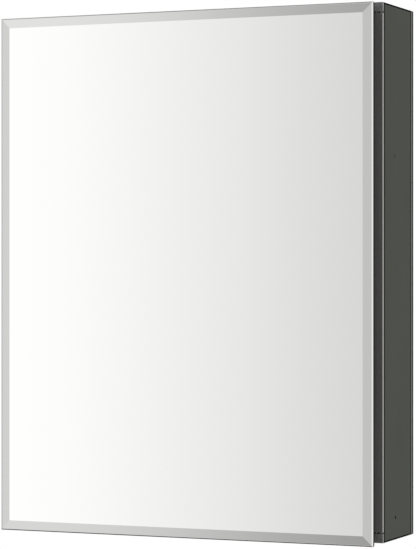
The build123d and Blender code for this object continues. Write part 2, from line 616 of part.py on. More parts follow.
def mitred_member(half_outer, length):
    """Frame member along Z whose outer face is at x = half_outer, mitred at both ends."""
    outer, inner = half_outer, half_outer - FRAME_WIDTH
    reach = length / 2
    tube = block((inner, outer), (FRAME_FRONT_Y, FRAME_BACK_Y), (-reach, reach))
    tube -= block((inner + FRAME_WALL, outer - FRAME_WALL),
                  (FRAME_FRONT_Y + FRAME_WALL, FRAME_BACK_Y - FRAME_WALL), (-reach - CLEAR, reach + CLEAR))
    fin_back = FRAME_BACK_Y - INNER_MIRROR_THICKNESS
    tube += block((inner - FRAME_FIN, inner), (fin_back - FRAME_WALL, fin_back), (-reach, reach))
    outline = [(outer, -reach), (outer, reach), (inner - FRAME_FIN, reach - FRAME_WIDTH - FRAME_FIN),
               (inner - FRAME_FIN, -reach + FRAME_WIDTH + FRAME_FIN)]
    plan = facing_front(FRAME_FRONT_Y - CLEAR) * Polygon(*outline, align=None)
    mitre = extrude(plan, amount=-FRAME_DEPTH - 2 * CLEAR)
    return tube & mitre


def door_stile():
    """Right-hand upright of the door frame."""
    return Pos(0, 0, -DOOR_DROP) * mitred_member(FRAME_HALF_WIDTH, 2 * FRAME_HALF_HEIGHT)


def door_rail():
    """Top member of the door frame."""
    upright = mitred_member(FRAME_HALF_HEIGHT, 2 * FRAME_HALF_WIDTH)
    return Pos(0, 0, -DOOR_DROP) * (Rot(0, -90, 0) * upright)


def corner_key():
    """Top right corner key: an L that fills the ends of two frame members."""
    slack = FRAME_WALL + RUNNING_GAP
    depth = (FRAME_FRONT_Y + slack, FRAME_BACK_Y - slack)
    outer_x, outer_z = FRAME_HALF_WIDTH - slack, FRAME_HALF_HEIGHT - slack
    inner_x, inner_z = FRAME_HALF_WIDTH - FRAME_WIDTH + slack, FRAME_HALF_HEIGHT - FRAME_WIDTH + slack
    upright = block((inner_x, outer_x), depth, (inner_z - CORNER_KEY_ARM, outer_z))
    level = block((inner_x - CORNER_KEY_ARM, outer_x), depth, (inner_z, outer_z))
    return upright + level


def corner_keys():
    """The four corner keys inside the door frame."""
    top = both_sides([corner_key()])
    return [Pos(0, 0, -DOOR_DROP) * key for key in top + [mirror_z(key) for key in top]]


def inner_mirror():
    """Mirror on the inside of the door, laid against the frame's lip."""
    reach_x = FRAME_HALF_WIDTH - FRAME_WIDTH - RUNNING_GAP
    reach_z = FRAME_HALF_HEIGHT - FRAME_WIDTH - RUNNING_GAP
    sheet = block((-reach_x, reach_x), (FRAME_BACK_Y - INNER_MIRROR_THICKNESS, FRAME_BACK_Y),
                  (-reach_z, reach_z))
    return Pos(0, 0, -DOOR_DROP) * sheet


def glass_edging():
    """Black edging strips behind the rim of the glass, outside the door frame."""
    depth = (GLASS_BACK_Y, GLASS_BACK_Y + EDGING_REACH)
    x_out, z_out = DOOR_WIDTH / 2 - EDGING_INSET, DOOR_HEIGHT / 2 - EDGING_INSET
    upright = block((FRAME_HALF_WIDTH, x_out), depth, (-z_out, z_out))
    level = block((-FRAME_HALF_WIDTH, FRAME_HALF_WIDTH), depth, (FRAME_HALF_HEIGHT, z_out))
    strips = [upright, mirror_x(upright), level, mirror_z(level)]
    return [Pos(0, 0, -DOOR_DROP) * strip for strip in strips]


def bonding_tape():
    """Four strips of foam tape that bond the glass to the door frame."""
    margin = (FRAME_WIDTH - TAPE_WIDTH) / 2
    x_out, z_out = FRAME_HALF_WIDTH - margin, FRAME_HALF_HEIGHT - margin
    upright = block((x_out - TAPE_WIDTH, x_out), (GLASS_BACK_Y, FRAME_FRONT_Y), (-z_out, z_out))
    level_end = x_out - TAPE_WIDTH - CLEAR
    level = block((-level_end, level_end), (GLASS_BACK_Y, FRAME_FRONT_Y), (z_out - TAPE_WIDTH, z_out))
    strips = [upright, mirror_x(upright), level, mirror_z(level)]
    return [Pos(0, 0, -DOOR_DROP) * strip for strip in strips]


# ---------------------------------------------------------------- nodes
def body_nodes():
    """Every node of the cabinet that stays on the wall."""
    block_right = corner_block()
    top_rivets = back_rivets_top()
    front_screws = both_sides(front_corner_screws())
    rear_screws = both_sides(rear_corner_screws())
    nodes = {
        "side_right": right_side(),
        "side_left": left_side(),
        "side_cover_right": side_cover(),
        "side_cover_left": mirror_x(side_cover()),
        "side_edging_right": side_edging(),
        "side_edging_left": [mirror_x(strip) for strip in side_edging()],
        "wall_seals": both_sides([wall_seal()]),
        "hole_caps": both_sides([hole_cap()]),
        "corner_block_top_right": block_right,
        "corner_block_top_left": mirror_x(block_right),
        "corner_block_bottom_right": mirror_z(block_right),
        "corner_block_bottom_left": mirror_z(mirror_x(block_right)),
        "top_panel": top_panel(),
        "bottom_panel": mirror_z(top_panel()),
        "front_corner_screws": front_screws + [mirror_z(one) for one in front_screws],
        "rear_corner_screws": rear_screws + [mirror_z(one) for one in rear_screws],
        "back_panel": back_panel(),
        "back_mirror": back_mirror(),
        "back_rivets": both_sides(back_rivets_right()) + top_rivets + [mirror_z(one) for one in top_rivets],
        "track_rivets": both_sides(track_rivets_right()),
        "hinge_body_leaf": body_hinge_leaf(),
        "hinge_body_screws": body_hinge_screws(),
        "hinge_pin": hinge_pin(),
        "catch_housing": catch_housing(),
        "catch_magnet": catch_magnet(),
        "catch_screws": catch_screw_shapes(),
        "door_bumpers": [bumper(BUMPER_LEVEL), bumper(-BUMPER_LEVEL)],
    }
    for place, y in TRACK_CENTRES_Y.items():
        nodes["shelf_track_right_" + place] = shelf_track(y)
        nodes["shelf_track_left_" + place] = mirror_x(shelf_track(y))
    for level, underside in SHELF_LEVELS.items():
        nodes["shelf_" + level] = shelf(underside)
        nodes["shelf_clips_" + level] = shelf_clips(underside)
    return nodes


def door_nodes():
    """Every node that swings with the door."""
    lower_rail = Pos(0, 0, -2 * DOOR_DROP) * mirror_z(door_rail())
    return {
        "door_mirror": bevelled_glass(),
        "glass_edging": glass_edging(),
        "bonding_tape": bonding_tape(),
        "door_stile_right": cut(door_stile(), strike_screws(HOLE_GAP)),
        "door_stile_left": cut(mirror_x(door_stile()), door_hinge_screws(HOLE_GAP)),
        "door_rail_top": door_rail(),
        "door_rail_bottom": lower_rail,
        "door_corner_keys": corner_keys(),
        "inner_mirror": inner_mirror(),
        "hinge_door_leaf": door_hinge_leaf(),
        "hinge_door_screws": door_hinge_screws(),
        "strike_plate": strike_plate(),
        "strike_screws": strike_screws(),
    }


def write_node(name, shape):
    """Write one node, with a list of solids as one group."""
    solid = Compound(children=[one.solid() for one in shape]) if isinstance(shape, list) else shape
    export_step(solid, os.path.join("parts", name + ".step"))


os.makedirs("parts", exist_ok=True)
for node_name, node_shape in {**body_nodes(), **door_nodes()}.items():
    write_node(node_name, node_shape)
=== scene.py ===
import json
from math import pi, radians

import bpy
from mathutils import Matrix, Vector


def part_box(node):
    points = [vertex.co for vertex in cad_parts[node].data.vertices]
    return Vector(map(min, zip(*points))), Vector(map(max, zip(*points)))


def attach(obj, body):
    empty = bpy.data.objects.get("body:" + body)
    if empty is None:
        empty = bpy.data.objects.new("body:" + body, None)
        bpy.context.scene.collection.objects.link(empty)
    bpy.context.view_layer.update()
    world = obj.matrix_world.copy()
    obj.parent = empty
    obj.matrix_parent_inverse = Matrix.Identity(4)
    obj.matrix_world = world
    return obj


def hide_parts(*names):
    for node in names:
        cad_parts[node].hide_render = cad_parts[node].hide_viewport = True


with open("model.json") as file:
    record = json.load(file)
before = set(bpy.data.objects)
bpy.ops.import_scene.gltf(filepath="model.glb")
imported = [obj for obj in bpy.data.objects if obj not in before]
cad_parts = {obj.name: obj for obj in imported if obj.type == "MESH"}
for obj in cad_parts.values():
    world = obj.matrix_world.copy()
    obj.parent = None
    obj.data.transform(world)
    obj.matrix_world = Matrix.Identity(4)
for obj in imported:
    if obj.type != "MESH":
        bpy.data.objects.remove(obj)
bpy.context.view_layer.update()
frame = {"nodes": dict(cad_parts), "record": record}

# Medicine cabinet: a bevelled mirror door on a full-height hinge, over a dark anodised
# aluminium body with glass shelves on slotted tracks. Metres; the wall face is y = 0.

MM = 0.001
TOUCH = 0.01 * MM               # two places closer than this are the same
CABINET = "cabinet"
DOOR = "door"


# ---------------------------------------------------------------- colour and node helpers
def linear(hex_colour):
    """An sRGB hex colour as linear RGBA."""
    channels = [int(hex_colour[place:place + 2], 16) / 255 for place in (1, 3, 5)]
    bent = [c / 12.92 if c <= 0.04045 else ((c + 0.055) / 1.055) ** 2.4 for c in channels]
    return (*bent, 1.0)


def set_inputs(tree, node, inputs):
    """Set or link a node's inputs by name or number."""
    for key, value in inputs.items():
        if isinstance(value, bpy.types.NodeSocket):
            tree.links.new(value, node.inputs[key])
        else:
            node.inputs[key].default_value = value


def add(tree, kind, inputs=None, **settings):
    """Add a node, set its properties, and set or link its inputs."""
    node = tree.nodes.new(kind)
    for key, value in settings.items():
        setattr(node, key, value)
    set_inputs(tree, node, inputs or {})
    return node


def new_material(name):
    """A material with an empty tree, its shader, and object coordinates in metres."""
    material = bpy.data.materials.new(name)
    material.use_nodes = True
    tree = material.node_tree
    tree.nodes.clear()
    shader = add(tree, "ShaderNodeBsdfPrincipled")
    out = add(tree, "ShaderNodeOutputMaterial")
    tree.links.new(shader.outputs["BSDF"], out.inputs["Surface"])
    place = add(tree, "ShaderNodeTexCoord").outputs["Object"]
    return material, tree, shader, place


def grain(tree, place, size_mm, stretch=(1, 1, 1), detail=3.0, roughness=0.5):
    """An irregular grain about size_mm across, drawn out along an axis by its stretch."""
    scale = [1 / (size_mm * MM * axis) for axis in stretch]
    mapping = add(tree, "ShaderNodeMapping", {"Vector": place, "Scale": scale})
    cloud = add(tree, "ShaderNodeTexNoise", {"Vector": mapping.outputs["Vector"], "Scale": 1.0,
                                             "Detail": detail, "Roughness": roughness})
    return cloud.outputs["Fac"]


def dress(tree, shader, pattern, colours=None, polish=None, depth_mm=None, fixed=None):
    """Let one pattern drive a surface's colour, roughness and relief, beside the shader's fixed values."""
    inputs = dict(fixed or {})
    if colours:
        shade = add(tree, "ShaderNodeValToRGB", {"Fac": pattern})
        for element, (position, colour) in zip(shade.color_ramp.elements, colours):
            element.position = position
            element.color = linear(colour)
        inputs["Base Color"] = shade.outputs["Color"]
    if polish:
        rough = add(tree, "ShaderNodeMapRange", {"Value": pattern, "To Min": polish[0], "To Max": polish[1]})
        inputs["Roughness"] = rough.outputs["Result"]
    if depth_mm:
        relief = add(tree, "ShaderNodeBump", {"Height": pattern, "Distance": depth_mm * MM, "Strength": 1.0})
        inputs["Normal"] = relief.outputs["Normal"]
    set_inputs(tree, shader, inputs)


def lay_over(tree, shader, cover, hex_colour):
    """Cover part of a dressed surface with a second colour."""
    under = shader.inputs["Base Color"].links[0].from_socket
    mixed = add(tree, "ShaderNodeMix", {"Factor": cover, 6: under, 7: linear(hex_colour)}, data_type="RGBA")
    set_inputs(tree, shader, {"Base Color": mixed.outputs[2]})


def edge_band(tree, place, side, depth, most=1.0):
    """A factor that rises across both spans: how far out to the side, and how deep from the wall."""
    parts = add(tree, "ShaderNodeSeparateXYZ", {0: place})
    outward = add(tree, "ShaderNodeMath", {0: parts.outputs["X"]}, operation="ABSOLUTE")
    at_side = add(tree, "ShaderNodeMapRange", {"Value": outward.outputs[0], "From Min": side[0],
                                               "From Max": side[1]})
    along = add(tree, "ShaderNodeMapRange", {"Value": parts.outputs["Y"], "From Min": depth[0],
                                             "From Max": depth[1], "To Max": most})
    both = add(tree, "ShaderNodeMath", {0: at_side.outputs[0], 1: along.outputs[0]}, operation="MULTIPLY")
    return both.outputs[0]


# ---------------------------------------------------------------- places taken from the frame
SIDE_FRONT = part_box("side_right")[0][1]
COVER_INNER, COVER_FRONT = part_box("side_cover_right")[0][:2]
# Where the painted highlight lies on the beads' rounded outer edges: how far out to the side, and its depth
# at the front and rear beads.
HIGHLIGHT_SIDE = (COVER_INNER + 0.5 * MM, COVER_INNER + 0.8 * MM)
FRONT_HIGHLIGHT_SPAN = (SIDE_FRONT + 1.9 * MM, SIDE_FRONT + 1.5 * MM)
REAR_HIGHLIGHT_SPAN = (-8.0 * MM, -7.6 * MM)
# Where the painted shadow line lies along each side sheet's front edge.
SHADE_LINE_SIDE = (COVER_INNER - 0.2 * MM, COVER_INNER - 0.1 * MM)
SHADE_LINE_SPAN = (COVER_FRONT + 2.4 * MM, COVER_FRONT + 2.2 * MM)
# Colour of the painted highlight, where the beads' rounded edges catch the light.
PAINTED_HIGHLIGHT = "#b8b8b4"


# ---------------------------------------------------------------- materials
def drawn_surface(tree, shader, place, dark, light, polish, fixed):
    """The surface of drawn or extruded metal: die lines along its length, over a faint cloudiness."""
    # Real die lines are finer; 0.8 mm is the finest that shows.
    die_lines = grain(tree, place, 0.8, stretch=(1, 1, 220))
    cloud = grain(tree, place, 60, stretch=(1, 1, 3), detail=2.0)
    both = add(tree, "ShaderNodeMath", {0: die_lines, 1: cloud}, operation="ADD")
    half = add(tree, "ShaderNodeMath", {0: both.outputs[0], 1: 0.5}, operation="MULTIPLY")
    dress(tree, shader, half.outputs[0], [(0.35, dark), (0.65, light)])
    dress(tree, shader, die_lines, polish=polish, depth_mm=0.01, fixed=fixed)


def anodised_extrusion(name, dark, light):
    """Extruded aluminium, clear anodised: a satin metal with die lines along its length."""
    material, tree, shader, place = new_material(name)
    drawn_surface(tree, shader, place, dark, light, (0.25, 0.36), {"Metallic": 1.0})
    return material


def graphite_sheet_painted_shade():
    """Satin graphite anodised sheet: a dark even metal, with a painted shadow line along its front edge, a
    near-black matt band where the shade of the gap beside the front bead falls.
    """
    material, tree, shader, place = new_material("aluminium sheet, graphite anodised, black hem")
    # Painted shade: a near-black, non-metal band along the sheet's front edge stands in for the shadow in
    # the gap beside the front bead.
    shade_line = edge_band(tree, place, SHADE_LINE_SIDE, SHADE_LINE_SPAN)
    metal = add(tree, "ShaderNodeMapRange", {"Value": shade_line, "To Min": 1.0, "To Max": 0.0})
    drawn_surface(tree, shader, place, "#484b43", "#50534b", (0.29, 0.4),
                  {"Metallic": metal.outputs["Result"], "Specular Tint": (0.73, 0.75, 0.72, 1),
                   "Specular IOR Level": 0.05})
    lay_over(tree, shader, shade_line, "#0c0c0c")
    return material


def graphite_frame():
    """Extruded aluminium, graphite anodised and matt, with a painted highlight along its beads' outer edges,
    where their rounded edges catch the light.
    """
    material, tree, shader, place = new_material("aluminium extrusion, graphite anodised, bright-cut bead")
    die_lines = grain(tree, place, 0.8, stretch=(1, 1, 220))
    front = edge_band(tree, place, HIGHLIGHT_SIDE, FRONT_HIGHLIGHT_SPAN)
    rear = edge_band(tree, place, HIGHLIGHT_SIDE, REAR_HIGHLIGHT_SPAN, 0.15)
    # Painted highlight: the beads' rounded outer edges catching the light, painted as pale bare metal, faint
    # at the rear bead.
    bright = add(tree, "ShaderNodeMath", {0: front, 1: rear}, operation="ADD").outputs[0]
    metal = add(tree, "ShaderNodeMapRange", {"Value": bright, "To Min": 0.25, "To Max": 1.0})
    dress(tree, shader, die_lines, [(0.35, "#676564"), (0.65, "#717070")], (0.4, 0.5), 0.01,
          {"Metallic": metal.outputs["Result"]})
    lay_over(tree, shader, bright, PAINTED_HIGHLIGHT)
    return material


def cast_anodised(name, dark, light):
    """Die-cast aluminium, tumbled and dyed: a mottled matt skin, with a painted highlight along its bead's
    edge.
    """
    material, tree, shader, place = new_material(name)
    # The real mottle is finer; 1.7 mm is coarse enough to show.
    mottle = grain(tree, place, 1.7, detail=4.0, roughness=0.7)
    dress(tree, shader, mottle, [(0.3, dark), (0.7, light)], (0.4, 0.6), 0.05, {"Metallic": 0.3})
    # Painted highlight: the bead's rounded front edge catching the light, painted pale.
    lay_over(tree, shader, edge_band(tree, place, HIGHLIGHT_SIDE, FRONT_HIGHLIGHT_SPAN, 0.7), PAINTED_HIGHLIGHT)
    return material


def silvered_mirror(name, tint="#e9e9e8"):
    """Silvered float glass: a near-perfect reflector with the faintest wiping haze."""
    material, tree, shader, place = new_material(name)
    dress(tree, shader, grain(tree, place, 90), polish=(0.0, 0.012),
          fixed={"Base Color": linear(tint), "Metallic": 1.0})
    return material


def ground_glass(name, dark, light):
    """Ground float glass: a fine satin grain left by the belt."""
    material, tree, shader, place = new_material(name)
    grind = grain(tree, place, 0.5, detail=2.0)
    dress(tree, shader, grind, [(0.3, dark), (0.7, light)], (0.25, 0.45), 0.02,
          {"IOR": 1.52, "Specular IOR Level": 0.25})
    return material


def backing_paint():
    """Grey protective paint rolled on behind the silvering: dull, with a faint stipple."""
    material, tree, shader, place = new_material("mirror backing paint, rolled")
    stipple = grain(tree, place, 1.5)
    dress(tree, shader, stipple, [(0.3, "#5f6567"), (0.7, "#6d7375")], (0.45, 0.6), 0.03)
    return material


def tempered_glass():
    """Tempered clear float glass: a faint green body colour and a polished surface."""
    material, tree, shader, place = new_material("tempered clear float glass")
    dress(tree, shader, grain(tree, place, 140, detail=1.0), polish=(0.0, 0.02),
          fixed={"Base Color": linear("#dcefe6"), "Transmission Weight": 1.0, "IOR": 1.52})
    return material


def plated_steel(name, dark, light):
    """Zinc-plated steel: bright, with a fine tumbled grain."""
    material, tree, shader, place = new_material(name)
    dress(tree, shader, grain(tree, place, 0.7), [(0.3, dark), (0.7, light)], (0.22, 0.36), 0.01,
          {"Metallic": 1.0})
    return material


def brushed_leaf():
    """Stainless strip of the hinge, brushed along its length: bright, with fine lines."""
    material, tree, shader, place = new_material("stainless strip, brushed lengthwise")
    brushing = grain(tree, place, 0.4, stretch=(1, 1, 120))
    dress(tree, shader, brushing, [(0.3, "#9a9a97"), (0.7, "#c4c4c0")], (0.22, 0.38), 0.01,
          {"Metallic": 1.0})
    return material


def moulding(name, dark, light):
    """Injection-moulded ABS: black with a soft sheen, and a fine spark-eroded texture."""
    material, tree, shader, place = new_material(name)
    dress(tree, shader, grain(tree, place, 0.35), [(0.3, dark), (0.7, light)], (0.39, 0.55), 0.02)
    return material


def edging():
    """Black rubber edging: dead matt, with the faint grain of its extrusion."""
    material, tree, shader, place = new_material("black EPDM edging, matt")
    ribs = grain(tree, place, 0.5, stretch=(1, 6, 6), detail=2.0)
    dress(tree, shader, ribs, [(0.3, "#0a0a0a"), (0.7, "#141414")], (0.75, 0.9), 0.02,
          {"Specular IOR Level": 0.05})
    return material


def foam():
    """Closed-cell foam tape: dead matt with fine cells."""
    material, tree, shader, place = new_material("closed-cell foam tape")
    cells = add(tree, "ShaderNodeTexVoronoi", {"Vector": place, "Scale": 1 / (0.6 * MM)})
    dress(tree, shader, cells.outputs["Distance"], [(0.1, "#151515"), (0.8, "#212121")], depth_mm=0.1,
          fixed={"Roughness": 0.9, "Specular IOR Level": 0.1})
    return material


def mill_sheet():
    """Rolled aluminium sheet in its mill finish, with faint rolling lines across the back."""
    material, tree, shader, place = new_material("aluminium sheet, mill finish")
    # Real rolling lines are finer; 1.6 mm is the finest that shows.
    rolling = grain(tree, place, 1.6, stretch=(60, 1, 1))
    dress(tree, shader, rolling, [(0.3, "#a3a4a3"), (0.7, "#b9bab9")], (0.32, 0.5), 0.01, {"Metallic": 1.0})
    return material


def clear_bumper():
    """Soft clear polyurethane bumper: slightly cloudy, with light passing through."""
    material, tree, shader, place = new_material("clear polyurethane bumper")
    haze = grain(tree, place, 1.2, detail=2.0)
    dress(tree, shader, haze, [(0.3, "#d9dad6"), (0.7, "#ecedea")], (0.12, 0.3),
          fixed={"Transmission Weight": 0.6, "IOR": 1.5})
    return material


def ferrite():
    """Sintered ferrite magnet: charcoal, slightly granular."""
    material, tree, shader, place = new_material("sintered ferrite")
    granules = grain(tree, place, 0.4, detail=4.0)
    dress(tree, shader, granules, [(0.3, "#232324"), (0.7, "#3a3a3b")], (0.55, 0.75), 0.04)
    return material


FINISHES = {
    "anodised_frame": graphite_frame(),
    "side_sheet": graphite_sheet_painted_shade(),
    "corner_casting": cast_anodised("die-cast aluminium, anodised", "#474747", "#868686"),
    "zinc_screws": plated_steel("steel, zinc plated", "#a8aaab", "#cfd1d1"),
    "back_sheet": mill_sheet(),
    "mirror_glass": silvered_mirror("silvered float glass"),
    "hinge_steel": brushed_leaf(),
    "black_moulding": moulding("black ABS, moulded", "#151515", "#222222"),
    "edging_rubber": edging(),
    "magnet": ferrite(),
    "bumper_rubber": clear_bumper(),
    "track_aluminium": anodised_extrusion("aluminium track, clear anodised", "#b4b5b4", "#c6c7c6"),
    "shelf_glass": tempered_glass(),
    "foam_tape": foam(),
    "door_frame": anodised_extrusion("aluminium frame, clear anodised", "#a9aaa9", "#bcbdbc"),
}
GLASS_RIM = ground_glass("ground float glass, pale", "#dcdedb", "#e8eae7")
GLASS_EDGE_AND_ARRIS_SHADE = ground_glass("ground float glass over dark paint", "#3a3d3b", "#474a48")
BACKING = backing_paint()


def finish_cad_nodes():
    """Give every CAD node the finish of its slot in the record."""
    for entry in frame["record"]["subparts"]:
        node = frame["nodes"][entry["node"]]
        node.data.materials.clear()
        node.data.materials.append(FINISHES[entry["material_slot"]])


# ---------------------------------------------------------------- modelling helpers
SOLID_GAP = 4 * MM              # the least room between two solids of one node
DRIVE_GAP = 60 * MM             # the same along a screw, whose own head and shank lie far apart
WELD = 0.004 * MM


def clear_selection():
    """Leave object mode with nothing selected."""
    if bpy.context.object and bpy.context.object.mode != "OBJECT":
        bpy.ops.object.mode_set(mode="OBJECT")
    bpy.ops.object.select_all(action="DESELECT")


def slab(name, low, high):
    """A new block between two corners, with its origin at the world's."""
    clear_selection()
    centre = [(a + b) / 2 for a, b in zip(low, high)]
    bpy.ops.mesh.primitive_cube_add(size=1, location=centre)
    piece = bpy.context.object
    piece.name = name
    piece.dimensions = [b - a for a, b in zip(low, high)]
    bpy.ops.object.transform_apply(location=True, rotation=True, scale=True)
    return piece


def pick_faces(piece, wanted):
    """Enter edit mode with just the faces selected for which wanted(face) is true."""
    bpy.ops.object.mode_set(mode="EDIT")
    bpy.ops.mesh.select_mode(type="FACE")
    bpy.ops.mesh.select_all(action="DESELECT")
    bpy.ops.object.mode_set(mode="OBJECT")
    for face in piece.data.polygons:
        face.select = wanted(face)
    bpy.ops.object.mode_set(mode="EDIT")


def pick_edges(piece, wanted):
    """Enter edit mode with just the edges selected for which wanted(end, end) is true."""
    bpy.ops.object.mode_set(mode="EDIT")
    bpy.ops.mesh.select_mode(type="EDGE")
    bpy.ops.mesh.select_all(action="DESELECT")
    bpy.ops.object.mode_set(mode="OBJECT")
    points = piece.data.vertices
    for edge in piece.data.edges:
        ends = [points[index].co for index in edge.vertices]
        edge.select = wanted(*ends)
    bpy.ops.object.mode_set(mode="EDIT")


def split_boxes(node, drive_axis):
    """The boxes of the separate solids in a CAD node, found by splitting it where there is a gap."""
    groups = [[vertex.co.copy() for vertex in frame["nodes"][node].data.vertices]]
    for axis in (0, 1, 2):
        gap = DRIVE_GAP if axis == drive_axis else SOLID_GAP
        parted = []
        for group in groups:
            group.sort(key=lambda point: point[axis])
            start = 0
            for index in range(1, len(group)):
                if group[index][axis] - group[index - 1][axis] > gap:
                    parted.append(group[start:index])
                    start = index
            parted.append(group[start:])
        groups = parted
    return [([min(p[i] for p in group) for i in range(3)], [max(p[i] for p in group) for i in range(3)])
            for group in groups]


def join(pieces, name):
    """One piece from several."""
    clear_selection()
    for piece in pieces:
        piece.select_set(True)
    bpy.context.view_layer.objects.active = pieces[0]
    bpy.ops.object.join()
    pieces[0].name = name
    return pieces[0]


def smooth_shade(piece, degrees=35):
    """Shade round faces smooth and keep real edges sharp."""
    clear_selection()
    piece.select_set(True)
    bpy.context.view_layer.objects.active = piece
    bpy.ops.object.shade_smooth_by_angle(angle=radians(degrees))


def soften(node, body, slot, name, width_mm, segments=2):
    """A copy of a CAD node whose sharp edges are rounded as the real part's are."""
    clear_selection()
    source = frame["nodes"][node]
    piece = bpy.data.objects.new(name, source.data.copy())
    bpy.context.scene.collection.objects.link(piece)
    piece.select_set(True)
    bpy.context.view_layer.objects.active = piece
    bpy.ops.object.mode_set(mode="EDIT")
    bpy.ops.mesh.select_all(action="SELECT")
    bpy.ops.mesh.remove_doubles(threshold=WELD)
    bpy.ops.mesh.dissolve_limited(angle_limit=radians(1))
    bpy.ops.object.mode_set(mode="OBJECT")
    rounding = piece.modifiers.new("rounding", "BEVEL")
    rounding.width = width_mm * MM
    rounding.segments = segments
    rounding.limit_method = "ANGLE"
    rounding.angle_limit = radians(50)
    rounding.use_clamp_overlap = True
    bpy.ops.object.modifier_apply(modifier="rounding")
    piece.data.materials.clear()
    piece.data.materials.append(FINISHES[slot])
    smooth_shade(piece)
    piece.modifiers.new("flat_faces", "WEIGHTED_NORMAL").keep_sharp = True
    bpy.ops.object.modifier_apply(modifier="flat_faces")
    finish_piece(piece, body, node)


def finish_piece(piece, body, node):
    """Seat a finished piece on its body, in place of its CAD node."""
    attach(piece, body)
    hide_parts(node)


# ---------------------------------------------------------------- the mirror door's glass
BEVEL_WIDTH = 12.7 * MM
BEVEL_DROP = 1.2 * MM
ARRIS = 1.3 * MM                # width of the corner round the rim: painted shade in the dark ground finish where it turns left or down, mirror where it turns right or up
ARRIS_DROP = 1.2 * MM
LAND = 0.3 * MM                 # narrow flat between the arris and the bevel
BACK_SEAM = 0.5 * MM


def glass_finish(face, rim_y):
    """Which of the glass's finishes a face has: 0 mirror, 1 ground edge (also painted shade on the arris
    turned left or down), 2 paint, 3 pale land.
    """
    forward, lit = -face.normal.y, face.normal.x + face.normal.z
    if forward > 0.999 and face.center.y > rim_y - TOUCH:
        return 3
    # Painted shade: arris faces turned left or down take the dark ground-edge finish, while those turned
    # right or up stay mirror.
    if forward > 0.9 or (forward > 0.5 and lit > 0.5):
        return 0
    return 2 if forward < -0.9 else 1


def mirror_door_glass():
    """Bevelled mirror: from the rim inwards a seamed arris, a narrow flat land, then the wide bevel."""
    low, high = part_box("door_mirror")
    rim_y = low[1] + BEVEL_DROP
    piece = slab("bevelled_mirror_glass", (low[0], rim_y + ARRIS_DROP, low[2]), high)
    pick_faces(piece, lambda face: face.normal.y < -0.9)
    bpy.ops.mesh.inset(thickness=ARRIS, depth=0)
    bpy.ops.transform.translate(value=(0, -ARRIS_DROP, 0))
    bpy.ops.mesh.inset(thickness=LAND, depth=0)
    bpy.ops.mesh.inset(thickness=BEVEL_WIDTH - ARRIS - LAND, depth=0)
    bpy.ops.transform.translate(value=(0, -BEVEL_DROP, 0))
    pick_edges(piece, lambda a, b: min(a.y, b.y) > high[1] - TOUCH)
    bpy.ops.mesh.bevel(offset=BACK_SEAM, segments=2, affect="EDGES")
    bpy.ops.object.mode_set(mode="OBJECT")
    for finish in (FINISHES["mirror_glass"], GLASS_EDGE_AND_ARRIS_SHADE, BACKING, GLASS_RIM):
        piece.data.materials.append(finish)
    for face in piece.data.polygons:
        face.material_index = glass_finish(face, rim_y)
    finish_piece(piece, DOOR, "door_mirror")


# ---------------------------------------------------------------- shelves
SHELF_NOSE = 2.0 * MM           # rounding of the front edge
SHELF_SEAM = 0.4 * MM


def glass_shelf(node):
    """Glass shelf with a rounded, polished front edge and a seamed back."""
    low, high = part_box(node)
    piece = slab("glass_" + node, low, high)
    pick_edges(piece, lambda a, b: a.y < low[1] + MM and b.y < low[1] + MM and abs(a.x - b.x) > MM)
    bpy.ops.mesh.bevel(offset=SHELF_NOSE, segments=5, affect="EDGES")
    pick_edges(piece, lambda a, b: a.y > high[1] - MM and b.y > high[1] - MM and abs(a.x - b.x) > MM)
    bpy.ops.mesh.bevel(offset=SHELF_SEAM, segments=2, affect="EDGES")
    bpy.ops.object.mode_set(mode="OBJECT")
    piece.data.materials.append(FINISHES["shelf_glass"])
    finish_piece(piece, CABINET, node)


# ---------------------------------------------------------------- fasteners and small fittings
HEAD_DEPTH = 1.2 * MM
CROSS_REACH = 0.62              # the recess against the head's radius
CROSS_WEB = 0.14
CROSS_DEPTH = 0.5
CROSS_TAPER = 0.55
BUMPER_ROUNDING = 1.4 * MM


def screw_shape(head_r, head_depth, shank_r, length):
    """A countersunk screw with a cross recess, its flat face at z = 0 and its shank running up +Z."""
    clear_selection()
    bpy.ops.mesh.primitive_circle_add(vertices=24, radius=head_r, fill_type="NGON")
    screw = bpy.context.object
    bpy.ops.object.mode_set(mode="EDIT")
    bpy.ops.mesh.select_all(action="SELECT")
    bpy.ops.mesh.extrude_region_move(TRANSFORM_OT_translate={"value": (0, 0, head_depth)})
    bpy.ops.transform.resize(value=(shank_r / head_r, shank_r / head_r, 1))
    bpy.ops.mesh.extrude_region_move(TRANSFORM_OT_translate={"value": (0, 0, length - head_depth)})
    bpy.ops.mesh.select_all(action="SELECT")
    bpy.ops.mesh.normals_make_consistent(inside=False)
    bpy.ops.object.mode_set(mode="OBJECT")
    recess = cross_cutter(head_r)
    cutting = screw.modifiers.new("recess", "BOOLEAN")
    cutting.operation = "DIFFERENCE"
    cutting.object = recess
    clear_selection()
    screw.select_set(True)
    bpy.context.view_layer.objects.active = screw
    bpy.ops.object.modifier_apply(modifier="recess")
    bpy.data.objects.remove(recess)
    return screw


def cross_cutter(head_r):
    """The tapered cross that a driver fits: two crossed wedges, united."""
    arm, web, depth = head_r * CROSS_REACH, head_r * CROSS_WEB, head_r * CROSS_DEPTH
    bars = []
    for size in ((arm, web), (web, arm)):
        bar = slab("bar", (-size[0], -size[1], -0.2 * MM), (size[0], size[1], depth))
        pick_faces(bar, lambda face: face.normal.z > 0.9)
        bpy.ops.transform.resize(value=(CROSS_TAPER, CROSS_TAPER, 1))
        bpy.ops.object.mode_set(mode="OBJECT")
        bars.append(bar)
    uniting = bars[0].modifiers.new("unite", "BOOLEAN")
    uniting.operation = "UNION"
    uniting.object = bars[1]
    clear_selection()
    bars[0].select_set(True)
    bpy.context.view_layer.objects.active = bars[0]
    bpy.ops.object.modifier_apply(modifier="unite")
    bpy.data.objects.remove(bars[1])
    return bars[0]


